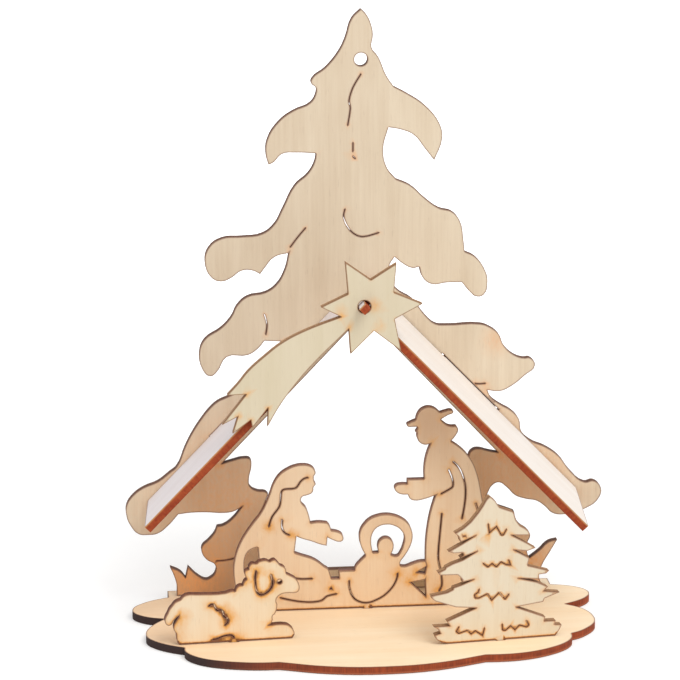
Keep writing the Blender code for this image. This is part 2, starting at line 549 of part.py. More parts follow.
def left_plank_outline(left, comet_front):
    """Plank with its tenon at the back and the peg at the front."""
    back = left.back()
    low = PEG_FROM_RIDGE - PLY / 2
    high = PEG_FROM_RIDGE + PLY / 2
    end = peg_end(left, comet_front)
    return [corner(0, back)] + back_tenon(left) + [
        corner(ROOF_LENGTH, back), corner(ROOF_LENGTH, ROOF_DEPTH), corner(high, ROOF_DEPTH),
        corner(high, end), corner(low, end), corner(low, ROOF_DEPTH), corner(0, ROOF_DEPTH),
    ]


def right_plank_outline(right, left):
    """Plank whose top end is cut to meet the left plank's lower face."""
    back = right.back()
    return [corner(ridge_cut(right, left, back), back)] + back_tenon(right) + [
        corner(ROOF_LENGTH, back), corner(ROOF_LENGTH, ROOF_DEPTH),
        corner(ridge_cut(right, left, ROOF_DEPTH), ROOF_DEPTH),
    ]


def tree_outlines(planks):
    """The tree, its gabled opening, the hanging hole, the roof's slots and the slits."""
    feet = tab(-TREE_TAB_X, TREE_TAB_WIDTH) + tab(TREE_TAB_X, TREE_TAB_WIDTH)
    left_eave = corner(-OPENING_HALF_WIDTH,
                       roof_height(LEFT, -OPENING_HALF_WIDTH) - OPENING_BELOW_LEFT_EAVE)
    right_eave = corner(OPENING_HALF_WIDTH,
                        roof_height(RIGHT, OPENING_HALF_WIDTH) - OPENING_BELOW_RIGHT_EAVE)
    ridge = corner(RIDGE_X, -OPENING_BELOW_RIDGE)
    opening = from_ridge([ridge, left_eave])
    opening += with_legs(OPENING_LEFT_LEG + OPENING_RIGHT_LEG) + from_ridge([right_eave])
    outline = from_ridge(CROWN_LEFT) + with_legs(LEG_LEFT) + feet
    outline += with_legs(LEG_RIGHT) + from_ridge(CROWN_RIGHT)
    holes = [opening, circle((0, RIDGE_HEIGHT + HANGING_HOLE_ABOVE_RIDGE), HANGING_HOLE_RADIUS)]
    holes += [plank.tree_slot() for plank in planks]
    holes += [slit(smooth_line(from_ridge(line)), FINE_KERF) for line in CROWN_SLITS]
    holes.append(slit(smooth_line(with_legs(LEG_SLIT)), FINE_KERF))
    return [outline] + holes


def family_outlines():
    """The kneeling figure, the crib with its halo and the standing figure, in one panel."""
    outline = STANDING_FIGURE_FRONT + CRIB_AND_HALO + KNEELING_FIGURE
    outline += tab(FAMILY_TAB_X, TAB_WIDTH) + STANDING_FIGURE_BACK
    holes = [HALO_WINDOW, VEIL_WINDOW] + ROBE_WINDOWS
    holes += [slit(smooth_line(line)) for line in FAMILY_SLITS]
    return [outline] + holes


def sheep_outlines():
    """The sheep with its eye, ear, wool and leg lines."""
    outline = SHEEP_OUTLINE + tab(SHEEP_TAB_X, TAB_WIDTH) + SHEEP_FRONT
    holes = [circle(SHEEP_EYE, SHEEP_EYE_RADIUS, 8)]
    holes += [slit(smooth_line(line)) for line in SHEEP_SLITS]
    return [outline] + holes


def fir_outlines():
    """The small fir with its rows of zigzag slits."""
    outline = all_corners(FIR_OUTLINE) + tab(FIR_TAB_X, TAB_WIDTH) + all_corners(FIR_RIGHT)
    return [outline] + [slit(line, FINE_KERF) for line in FIR_ZIGZAGS]


def comet_outlines(hole):
    """The six-pointed star with its tail and the round hole for the peg."""
    outline = moved(COMET_STAR + COMET_TAIL, hole.x, hole.z)
    return [outline, circle((hole.x, hole.z), COMET_HOLE_RADIUS)]


def turned_seat(place, turn, x):
    """Centre of a tenon's front face on the base, for a panel that is turned."""
    return (place[0] + x * cos(radians(turn)), place[1] + x * sin(radians(turn)))


def base_outlines():
    """The cloud-shaped plate and a slot for each tenon."""
    front = (0, -BASE_DRAWN_HALF_DEPTH)
    outline = [front] + BASE_RIGHT + [mirrored(point) for point in reversed(BASE_LEFT)]
    outline = with_depth(outline)
    slots = [slot((x, TREE_FRONT), TREE_TAB_WIDTH, PLY) for x in (-TREE_TAB_X, TREE_TAB_X)]
    slots.append(slot((FAMILY_TAB_X, FAMILY_FRONT), TAB_WIDTH, PLY))
    slots.append(slot(turned_seat(SHEEP_PLACE, SHEEP_TURN, SHEEP_TAB_X), TAB_WIDTH, PLY, SHEEP_TURN))
    slots.append(slot(turned_seat(FIR_PLACE, FIR_TURN, FIR_TAB_X), TAB_WIDTH, PLY, FIR_TURN))
    return [outline] + slots


def build():
    """Make the eight pieces and put them in one collection."""
    for leftover in list(bpy.data.objects):
        bpy.data.objects.remove(leftover, do_unlink=True)
    stable = bpy.data.collections.new("nativity_stable")
    bpy.context.scene.collection.children.link(stable)

    left = RoofPlank(LEFT, LEFT_TENON_MIDDLE)
    right = RoofPlank(RIGHT, RIGHT_TENON_MIDDLE)
    comet_front = roof_front((left, right)) - SEAT_GAP - PLY
    hole = peg_centre(left, comet_front)

    pieces = [
        cut_panel("base_plate", base_outlines(), Matrix.Translation(Vector((0, 0, PLY / 2 * MM))),
                  (0.86, 0.66, 0.42)),
        cut_panel("tree_panel", tree_outlines((left, right)), upright(0, TREE_FRONT), (0.68, 0.49, 0.32)),
        cut_panel("roof_left", [left_plank_outline(left, comet_front)], left.matrix(), (0.75, 0.71, 0.64)),
        cut_panel("roof_right", [right_plank_outline(right, left)], right.matrix(), (0.86, 0.80, 0.70)),
        cut_panel("comet", comet_outlines(hole), upright(0, comet_front), (0.74, 0.62, 0.44)),
        cut_panel("family_panel", family_outlines(), upright(0, FAMILY_FRONT), (0.82, 0.60, 0.37)),
        cut_panel("sheep", sheep_outlines(), upright(*SHEEP_PLACE, SHEEP_TURN), (0.84, 0.68, 0.46)),
        cut_panel("small_fir", fir_outlines(), upright(*FIR_PLACE, FIR_TURN), (0.86, 0.73, 0.52)),
    ]
    for piece in pieces:
        stable.objects.link(piece)


build()
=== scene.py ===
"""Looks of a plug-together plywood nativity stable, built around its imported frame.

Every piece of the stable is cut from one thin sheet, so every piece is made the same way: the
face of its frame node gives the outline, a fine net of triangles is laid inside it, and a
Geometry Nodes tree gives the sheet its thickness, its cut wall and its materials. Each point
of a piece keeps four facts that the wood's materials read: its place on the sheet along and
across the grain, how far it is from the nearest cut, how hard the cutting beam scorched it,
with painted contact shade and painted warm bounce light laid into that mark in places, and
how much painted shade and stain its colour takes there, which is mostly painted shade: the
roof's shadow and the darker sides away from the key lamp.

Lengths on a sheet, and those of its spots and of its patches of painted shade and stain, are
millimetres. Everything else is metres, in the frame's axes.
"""
from __future__ import annotations

import logging
import math
from dataclasses import dataclass, field
from enum import Enum

import bpy
import numpy as np
from mathutils import Matrix, Vector
from mathutils.geometry import delaunay_2d_cdt

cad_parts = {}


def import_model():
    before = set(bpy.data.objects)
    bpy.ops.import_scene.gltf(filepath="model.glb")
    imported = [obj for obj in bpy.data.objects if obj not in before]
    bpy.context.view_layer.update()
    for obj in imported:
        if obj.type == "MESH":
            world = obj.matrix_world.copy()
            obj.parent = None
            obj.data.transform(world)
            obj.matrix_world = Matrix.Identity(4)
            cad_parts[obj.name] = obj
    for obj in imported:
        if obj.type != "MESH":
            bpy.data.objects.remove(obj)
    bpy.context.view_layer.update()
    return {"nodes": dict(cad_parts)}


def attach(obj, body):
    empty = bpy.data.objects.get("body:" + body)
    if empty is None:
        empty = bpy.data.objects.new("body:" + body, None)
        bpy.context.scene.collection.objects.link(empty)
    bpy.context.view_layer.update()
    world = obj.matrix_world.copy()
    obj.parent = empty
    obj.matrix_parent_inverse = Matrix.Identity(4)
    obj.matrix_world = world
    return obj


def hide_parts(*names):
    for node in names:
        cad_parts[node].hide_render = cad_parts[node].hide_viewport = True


LOG = logging.getLogger("nativity_stable")

MM = 0.001
PLY = 3.0                        # thickness of the sheet, in millimetres
CORNER_ANGLE = math.radians(32)  # a bend sharper than this keeps a hard edge
NOISE_LOW = 0.3                  # nearly all noise lies between these two values
NOISE_HIGH = 0.7


class Grain(Enum):
    """Which way the face veneer's fibres run, as a direction in the frame."""

    UPRIGHT = (0.0, 0.0, 1.0)
    SIDEWAYS = (1.0, 0.0, 0.0)


class Facing(Enum):
    """Which way the show face of a sheet looks."""

    FRONT = (0.0, -1.0, 0.0)
    UP = (0.0, 0.0, 1.0)


@dataclass(frozen=True)
class Tone:
    """A colour as it is seen on a screen, by its three values out of 255."""

    red: int
    green: int
    blue: int

    def linear(self) -> tuple[float, float, float, float]:
        """The colour as light, the way a shader takes it, by the usual curve of screens."""
        values = []
        for value in (self.red, self.green, self.blue):
            share = value / 255
            if share <= 0.04045:
                values.append(share / 12.92)
            else:
                values.append(((share + 0.055) / 1.055) ** 2.4)
        return (*values, 1.0)


@dataclass(frozen=True)
class BirchFace:
    """The bare face veneer of one piece.

    The scales are waves per millimetre across the grain, along it and through the sheet.
    """

    FIBRE_SCALE = (0.95, 0.03, 0.3)
    BAND_SCALE = (0.14, 0.01, 0.05)
    CLOUD_SCALE = (0.04, 0.025, 0.05)
    FLECK_SCALE = (1.5, 0.2, 1.0)
    FLECK_STARTS = 0.66
    FLECK_ENDS = 0.74
    UNEVEN_SCALE = (0.9, 0.5, 0.5)
    RIM_STARTS = 0.12

    name: str
    pale: Tone
    dark: Tone
    fibre: float = 0.4
    flecks: float = 0.08
    scorch: Tone = Tone(230, 168, 90)
    char: Tone = Tone(104, 56, 26)
    # colour of painted shade, and of some real stain, mixed in by the stain-and-shade mark
    shade_and_stain: Tone = Tone(176, 124, 86)
    rim: Tone = Tone(128, 92, 78)
    rim_width: float = 0.55
    rim_strength: float = 0.85
    roughness: float = 0.62

    def material(self) -> bpy.types.Material:
        """The finish as a material."""
        shade = Shading(self.name)
        place = shade.attribute("sheet")
        fibres = shade.noise(place, self.FIBRE_SCALE, detail=4.0, roughness=0.7)
        bands = shade.noise(place, self.BAND_SCALE, detail=3.0, roughness=0.55, distortion=0.4)
        clouds = shade.noise(place, self.CLOUD_SCALE, detail=2.0, roughness=0.5)
        grain = shade.add(
            shade.spread(fibres, 0.0, self.fibre),
            shade.spread(bands, 0.0, 0.75 - self.fibre * 0.5),
        )
        grain = shade.add(grain, shade.spread(clouds, -0.15, 0.25))
        colour = shade.mix(grain, self.pale.linear(), self.dark.linear())
        specks = shade.noise(place, self.FLECK_SCALE, detail=1.0, roughness=0.4)
        speckled = shade.stretched(specks, self.FLECK_STARTS, self.FLECK_ENDS, 0.0, self.flecks)
        colour = shade.mix(speckled, colour, self.char.linear())
        # painted shade, with some real stain, mixed in where the stain-and-shade mark is set
        colour = shade.mix(shade.attribute("shade_and_stain", "Fac"), colour, self.shade_and_stain.linear())
        uneven = shade.noise(place, self.UNEVEN_SCALE, detail=2.0, roughness=0.6)
        # mostly real scorch, but the same mark also carries painted contact shade along the foot of a
        # piece and painted warm bounce light in shaded places
        scorch_and_shade = shade.multiply(
            shade.attribute("scorch_and_shade", "Fac"), shade.stretched(uneven, 0.3, 0.75, 0.75, 1.25))
        colour = shade.mix(shade.stretched(scorch_and_shade, 0.05, 0.75, 0.0, 0.95), colour, self.scorch.linear())
        colour = shade.mix(shade.stretched(scorch_and_shade, 0.75, 1.6, 0.0, 0.9), colour, self.char.linear())
        near = shade.stretched(
            shade.attribute("rim", "Fac"), self.RIM_STARTS, self.rim_width, self.rim_strength, 0.0)
        colour = shade.mix(near, colour, self.rim.linear())
        shade.finish(colour, self.roughness, fibres, bump=0.1)
        return shade.material


@dataclass(frozen=True)
class CutEdge:
    """The scorched wall that the cutting beam leaves.

    The shares are parts of the sheet's thickness: the top one at the show face, the low one at
    the back. The lip is the thin line at the very back.
    """

    PATCH_SCALE = (0.12, 0.12, 0.4)
    LOW_FADE = 0.12
    LIP_STARTS = 0.9

    name: str
    core: Tone
    dark: Tone
    top_rim: Tone
    low_rim: Tone
    lip: Tone
    top_share: float = 0.12
    low_share: float = 0.3
    # painted shade on the wall: this dark tone is laid in where the stain-and-shade mark is set,
    # times the gain below; the base uses it for its darker left end, away from the key lamp
    painted_wall_shade: Tone = Tone(58, 42, 40)
    painted_wall_shade_gain: float = 0.0
    lumps: tuple[float, float, float] = (1.9, 1.9, 0.12)
    roughness: float = 0.7

    def material(self) -> bpy.types.Material:
        """The finish as a material."""
        shade = Shading(self.name)
        place = shade.attribute("sheet")
        streaks = shade.noise(place, self.lumps, detail=3.0, roughness=0.6)
        patches = shade.noise(place, self.PATCH_SCALE, detail=2.0, roughness=0.5)
        tone = shade.add(shade.spread(streaks, 0.0, 0.7), shade.spread(patches, 0.0, 0.4))
        colour = shade.mix(tone, self.core.linear(), self.dark.linear())
        depth = shade.separate(place, "Z")
        top = shade.stretched(depth, 0.0, self.top_share * PLY, 0.9, 0.0)
        low_start = (1 - self.low_share) * PLY
        low = shade.stretched(depth, low_start, low_start + self.LOW_FADE * PLY, 0.0, 0.85)
        lip = shade.stretched(depth, self.LIP_STARTS * PLY, PLY, 0.0, 0.8)
        colour = shade.mix(top, colour, self.top_rim.linear())
        colour = shade.mix(low, colour, self.low_rim.linear())
        colour = shade.mix(lip, colour, self.lip.linear())
        # painted shade: the wall darkens where the stain-and-shade mark is set
        painted_wall_shade = shade.multiply(shade.attribute("shade_and_stain", "Fac"), self.painted_wall_shade_gain)
        colour = shade.mix(painted_wall_shade, colour, self.painted_wall_shade.linear())
        shade.finish(colour, self.roughness, streaks, bump=0.25)
        return shade.material


class Shading:
    """A node material under construction, with short calls for the nodes that wood needs."""

    RELIEF_DEPTH = 0.05 * MM
    WOOD_SHEEN = 0.25

    def __init__(self, name: str) -> None:
        """Start an empty material.

        Args:
            name: The material's name.
        """
        self.material = bpy.data.materials.new(name)
        self.material.use_nodes = True
        self.nodes = self.material.node_tree.nodes
        self.links = self.material.node_tree.links
        self.shader = self.nodes["Principled BSDF"]

    def _fill(self, socket: bpy.types.NodeSocket, value: object) -> None:
        """Link a node's output to a socket, or write a plain value into it."""
        if isinstance(value, bpy.types.NodeSocket):
            self.links.new(value, socket)
        else:
            socket.default_value = value

    def attribute(self, name: str, output: str = "Vector") -> bpy.types.NodeSocket:
        """A fact that the piece's points carry."""
        node = self.nodes.new("ShaderNodeAttribute")
        node.attribute_name = name
        return node.outputs[output]

    def separate(self, vector: bpy.types.NodeSocket, axis: str) -> bpy.types.NodeSocket:
        """One axis of a vector."""
        node = self.nodes.new("ShaderNodeSeparateXYZ")
        self.links.new(vector, node.inputs[0])
        return node.outputs[axis]

    def noise(self, place: bpy.types.NodeSocket, scale: tuple[float, float, float],
              detail: float, roughness: float, distortion: float = 0.0) -> bpy.types.NodeSocket:
        """Smooth noise over the sheet.

        Args:
            place: Where on the sheet.
            scale: Waves per millimetre across the grain, along it and through the sheet.
            detail: How many finer layers of noise are added.
            roughness: How strong these layers are.
            distortion: How much the noise is stirred.

        Returns:
            The noise, mostly from 0.3 to 0.7.
        """
        mapping = self.nodes.new("ShaderNodeMapping")
        mapping.vector_type = "POINT"
        mapping.inputs["Scale"].default_value = scale
        self.links.new(place, mapping.inputs["Vector"])
        node = self.nodes.new("ShaderNodeTexNoise")
        node.inputs["Scale"].default_value = 1.0
        node.inputs["Detail"].default_value = detail
        node.inputs["Roughness"].default_value = roughness
        node.inputs["Distortion"].default_value = distortion
        self.links.new(mapping.outputs["Vector"], node.inputs["Vector"])
        return node.outputs["Fac"]

    def stretched(self, value: bpy.types.NodeSocket, low: float, high: float,
                  new_low: float, new_high: float) -> bpy.types.NodeSocket:
        """A value moved from one range to another, and held inside it.

        Args:
            value: The value.
            low: Where the first range starts.
            high: Where the first range ends.
            new_low: What the start becomes.
            new_high: What the end becomes.

        Returns:
            The new value.
        """
        node = self.nodes.new("ShaderNodeMapRange")
        node.clamp = True
        self.links.new(value, node.inputs["Value"])
        for name, number in (("From Min", low), ("From Max", high),
                             ("To Min", new_low), ("To Max", new_high)):
            node.inputs[name].default_value = number
        return node.outputs["Result"]

    def spread(self, noise: bpy.types.NodeSocket, new_low: float,
               new_high: float) -> bpy.types.NodeSocket:
        """Noise spread over a new range."""
        return self.stretched(noise, NOISE_LOW, NOISE_HIGH, new_low, new_high)

    def _sum(self, operation: str, first: object, second: object) -> bpy.types.NodeSocket:
        """The result of one sum on two values."""
        node = self.nodes.new("ShaderNodeMath")
        node.operation = operation
        self._fill(node.inputs[0], first)
        self._fill(node.inputs[1], second)
        return node.outputs[0]

    def add(self, first: object, second: object) -> bpy.types.NodeSocket:
        """The sum of two values."""
        return self._sum("ADD", first, second)

    def multiply(self, first: object, second: object) -> bpy.types.NodeSocket:
        """The product of two values."""
        return self._sum("MULTIPLY", first, second)

    def mix(self, share: object, first: object, second: object) -> bpy.types.NodeSocket:
        """A colour between two.

        Args:
            share: How much of the second colour, from 0 to 1.
            first: The first colour.
            second: The second colour.

        Returns:
            The mixed colour.
        """
        node = self.nodes.new("ShaderNodeMix")
        node.data_type = "RGBA"
        node.clamp_factor = True
        sockets = {socket.identifier: socket for socket in node.inputs}
        self._fill(sockets["Factor_Float"], share)
        self._fill(sockets["A_Color"], first)
        self._fill(sockets["B_Color"], second)
        return next(o for o in node.outputs if o.identifier == "Result_Color")

    def finish(self, colour: bpy.types.NodeSocket, roughness: float,
               height: bpy.types.NodeSocket, bump: float) -> None:
        """Give the shader its colour, roughness and relief.

        Args:
            colour: The surface colour.
            roughness: How matt the surface is.
            height: What the relief follows.
            bump: How strong the relief is.
        """
        relief = self.nodes.new("ShaderNodeBump")
        relief.inputs["Strength"].default_value = bump
        relief.inputs["Distance"].default_value = self.RELIEF_DEPTH
        self.links.new(height, relief.inputs["Height"])
        self.links.new(colour, self.shader.inputs["Base Color"])
        self.links.new(relief.outputs["Normal"], self.shader.inputs["Normal"])
        self.shader.inputs["Roughness"].default_value = roughness
        self.shader.inputs["Specular IOR Level"].default_value = self.WOOD_SHEEN


@dataclass(frozen=True)
class Scorch:
    """How the cutting beam marked the face beside its cuts.

    A spot, or a patch of painted shade and stain, is a soft round patch, given by its x and z in
    the frame, its radius and its strength. Besides real scorch, some broad spots paint warm bounce
    light, the foot line paints contact shade, and the stain patches are mostly painted shade.
    """

    ENDS_LIMIT = 1.6
    FOOT_CHAR_AND_SHADE_REACH = 0.5

    reach: float = 0.9        # how far one cut warms the wood
    start: float = 1.2        # how crowded the cuts are where the scorch starts
    gain: float = 0.5
    ends: float = 0.5         # scorch at the ends of slits and in sharp inner corners
    ends_reach: float = 1.3
    glow: float = 0.0         # even darkening along every cut
    glow_reach: float = 3.0
    foot_char_and_shade: float = 0.0         # painted contact shade where the piece stands on the base, over its burnt bottom edge
    foot_char_and_shade_height: float = 4.6
    spots: tuple[tuple[float, float, float, float], ...] = ()
    # patches of painted shade, with some real stain, for the stain-and-shade mark
    shade_and_stain_patches: tuple[tuple[float, float, float, float], ...] = ()


class Sheet:
    """The show face of one frame node: its plane, its outline and the net laid inside it."""

    TOWARDS = 0.5                       # how squarely the show face looks its way, at least
    FLAT = 0.99                         # the same for a triangle of the show face
    ROWS = (0.3, 0.75, 1.4, 2.3, 3.5)   # how far each row of points is from its cut
    ROW_STEP = 0.8                      # smallest step between the points of a row
    ROW_SPREAD = 0.7                    # step of a wide row, as a share of its distance
    ROW_KEPT = 0.8                      # a point nearer a cut than this share is left out
    ROW_CELL = 0.55                     # points closer than such a cell are thinned to one
    LEAST_CELL = 0.12
    OPEN_STEP = 4.0                     # step of the grid on open wood
    OPEN_RISE = 0.87                    # height of an even triangle on a side of 1
    OPEN_CLEAR = 1.0
    CUT_STEP = 0.35                     # longest stretch of a cut that counts as one source
    BLUNT = math.radians(140)           # a wider corner gets no scorch
    SHARP_SPAN = math.radians(90)       # from blunt to as sharp as counts
    PROBE = 0.03                        # how far into a corner to feel for wood
    LEVEL = 1e-5                        # metres off the face's plane that still count as flat
    TINY = 1e-6
    NO_RISE = 1e-12
    WELD = 1e-4
    CHUNK = 400                         # points measured at a time, to save memory

    def __init__(self, node: bpy.types.Object, facing: Facing, grain: Grain) -> None:
        """Read the show face of a node.

        Args:
            node: The frame's node.
            facing: Where its show face looks.
            grain: Which way the fibres run.
        """
        mesh = node.data
        places = np.array([v.co for v in mesh.vertices], float)
        corners = np.array([p.vertices[:3] for p in mesh.polygons], int)
        triangles = places[corners]
        across = np.cross(triangles[:, 1] - triangles[:, 0], triangles[:, 2] - triangles[:, 0])
        area = np.linalg.norm(across, axis=1)
        towards = across @ np.array(facing.value)
        biggest = int(np.argmax(np.where(towards > self.TOWARDS * area, area, 0)))
        self.normal = across[biggest] / area[biggest]
        along = np.array(grain.value)
        along = along - (along @ self.normal) * self.normal
        self.along = along / np.linalg.norm(along)
        self.across = np.cross(self.along, self.normal)
        self.origin = triangles[biggest][0]
        level = (triangles - self.origin) @ self.normal
        flat = across @ self.normal > self.FLAT * area
        flat &= np.abs(level).max(axis=1) < self.LEVEL
        self._trace(self.on_sheet(triangles[flat].reshape(-1, 3))[:, :2])

    def on_sheet(self, places: np.ndarray) -> np.ndarray:
        """Points of the frame as millimetres across, along and into the sheet."""
        moved = places - self.origin
        return np.stack((moved @ self.across, moved @ self.along, -(moved @ self.normal)), 1) / MM

    def in_frame(self, points: np.ndarray) -> np.ndarray:
        """Points of the sheet's face as places in the frame."""
        return self.origin + (np.outer(points[:, 0], self.across)
                              + np.outer(points[:, 1], self.along)) * MM

    def _trace(self, points: np.ndarray) -> None:
        """Find the outline: the triangle sides that no second triangle shares."""
        _, first, label = np.unique(np.round(points, 3), axis=0, return_index=True,
                                    return_inverse=True)
        label = label.reshape(-1, 3)
        self.points = points[first]
        sides = np.concatenate([label[:, [0, 1]], label[:, [1, 2]], label[:, [2, 0]]])
        both, count = np.unique(np.sort(sides, axis=1), axis=0, return_counts=True)
        outline = both[count == 1]
        used, renumbered = np.unique(outline, return_inverse=True)
        self.points = self.points[used]
        self.sides = renumbered.reshape(-1, 2)

    def measure(self, points: np.ndarray) -> tuple[np.ndarray, np.ndarray]:
        """Distance to the nearest cut, and which points are on wood.

        Args:
            points: The points, on the sheet.

        Returns:
            The distance, and whether each point is inside the outline.
        """
        start = self.points[self.sides[:, 0]]
        run = self.points[self.sides[:, 1]] - start
        squared = (run ** 2).sum(1)
        near, inside = [], []
        for first in range(0, len(points), self.CHUNK):
            part = points[first:first + self.CHUNK, None, :]
            gap = part - start
            share = np.clip((gap * run).sum(2) / squared, 0, 1)
            near.append(np.linalg.norm(gap - share[..., None] * run, axis=2).min(1))
            crossing = (start[:, 1] > part[..., 1]) != (start[:, 1] + run[:, 1] > part[..., 1])
            rise = np.where(np.abs(run[:, 1]) > self.NO_RISE, run[:, 1], self.NO_RISE)
            meets = start[:, 0] + (part[..., 1] - start[:, 1]) / rise * run[:, 0]
            inside.append((crossing & (meets > part[..., 0])).sum(1) % 2 == 1)
        return np.concatenate(near), np.concatenate(inside)

    def warmth(self, points: np.ndarray, sources: np.ndarray, weights: np.ndarray,
               reach: float) -> np.ndarray:
        """What a set of sources adds up to at each point, each fading with distance.

        Args:
            points: The points, on the sheet.
            sources: Where the heat comes from, on the sheet.
            weights: How strong each source is.
            reach: How far it reaches, in millimetres.

        Returns:
            The sum at each point.
        """
        total = []
        for first in range(0, len(points), self.CHUNK):
            gap = points[first:first + self.CHUNK, None, :] - sources
            total.append((weights * np.exp(-(gap ** 2).sum(2) / reach ** 2)).sum(1))
        return np.concatenate(total)

    def crowding(self, points: np.ndarray, reach: float) -> np.ndarray:
        """How crowded the cuts are around each point: 1 on one straight cut, more between two."""
        spots, weights = [], []
        for start, end in self.points[self.sides]:
            length = float(np.linalg.norm(end - start))
            count = max(1, math.ceil(length / self.CUT_STEP))
            for i in range(count):
                spots.append(start + (end - start) * (i + 0.5) / count)
                weights.append(length / count)
        total = self.warmth(points, np.array(spots), np.array(weights), reach)
        return total / (reach * math.sqrt(math.pi))

    def inner_corners(self) -> tuple[np.ndarray, np.ndarray]:
        """Where a cut ends or turns sharply into the wood, and how sharply, from 0 to 1."""
        joined = [[] for _ in self.points]
        for start, end in self.sides:
            joined[start].append(end)
            joined[end].append(start)
        spots, probes, sharpness = [], [], []
        for spot, ends in zip(self.points, joined):
            ways = self.points[ends[:2]] - spot
            ways /= np.linalg.norm(ways, axis=1)[:, None]
            between = math.acos(float(np.clip(ways[0] @ ways[1], -1, 1)))
            if between < self.BLUNT:
                spots.append(spot)
                probes.append(spot + ways.sum(0) * self.PROBE)
                sharpness.append(min(1.0, (self.BLUNT - between) / self.SHARP_SPAN))
        _, on_wood = self.measure(np.array(probes))
        return np.array(spots)[~on_wood], np.array(sharpness)[~on_wood]

    def _beside_cuts(self) -> np.ndarray:
        """Rows of points that follow the outline inside the wood."""
        found = []
        for row in self.ROWS:
            spots = []
            for start, end in self.sides:
                run = self.points[end] - self.points[start]
                length = float(np.linalg.norm(run))
                if length < self.TINY:
                    continue
                out = np.array((run[1], -run[0])) / length * row
                count = max(1, round(length / max(self.ROW_STEP, row * self.ROW_SPREAD)))
                for i in range(count):
                    middle = self.points[start] + run * (i + 0.5) / count
                    spots += [middle + out, middle - out]
            spots = np.array(spots)
            cell = row * self.ROW_CELL + self.LEAST_CELL
            _, kept = np.unique(np.round(spots / cell), axis=0, return_index=True)
            spots = spots[np.sort(kept)]
            near, inside = self.measure(spots)
            found.append(spots[inside & (near > row * self.ROW_KEPT)])
        return np.concatenate(found)

    def _open_wood(self) -> np.ndarray:
        """A staggered grid of points away from the cuts."""
        low = self.points.min(0)
        high = self.points.max(0)
        spots = []
        rows = int((high[1] - low[1]) / (self.OPEN_STEP * self.OPEN_RISE)) + 1
        columns = int((high[0] - low[0]) / self.OPEN_STEP) + 1
        for row in range(rows):
            for column in range(columns):
                spots.append((low[0] + (column + 0.5 * (row % 2)) * self.OPEN_STEP,
                              low[1] + row * self.OPEN_STEP * self.OPEN_RISE))
        spots = np.array(spots)
        near, inside = self.measure(spots)
        return spots[inside & (near > self.ROWS[-1] + self.OPEN_CLEAR)]

    def net(self) -> tuple[np.ndarray, list[tuple[int, int, int]]]:
        """Lay triangles inside the outline.

        Returns:
            The points on the sheet, and the triangles, which look out of the show face.
        """
        points = np.concatenate((self.points, self._beside_cuts(), self._open_wood()))
        laid = delaunay_2d_cdt([Vector(p) for p in points],
                               [tuple(map(int, s)) for s in self.sides], [], 0, self.WELD)
        places = np.array([tuple(p) for p in laid[0]], float)
        faces = np.array(laid[2], int)
        _, inside = self.measure(places[faces].mean(1))
        faces = faces[inside]
        ends = places[faces]
        looks = np.cross(ends[:, 1] - ends[:, 0], ends[:, 2] - ends[:, 0])
        faces[looks < 0] = faces[looks < 0][:, ::-1]
        return places, [tuple(map(int, f)) for f in faces]


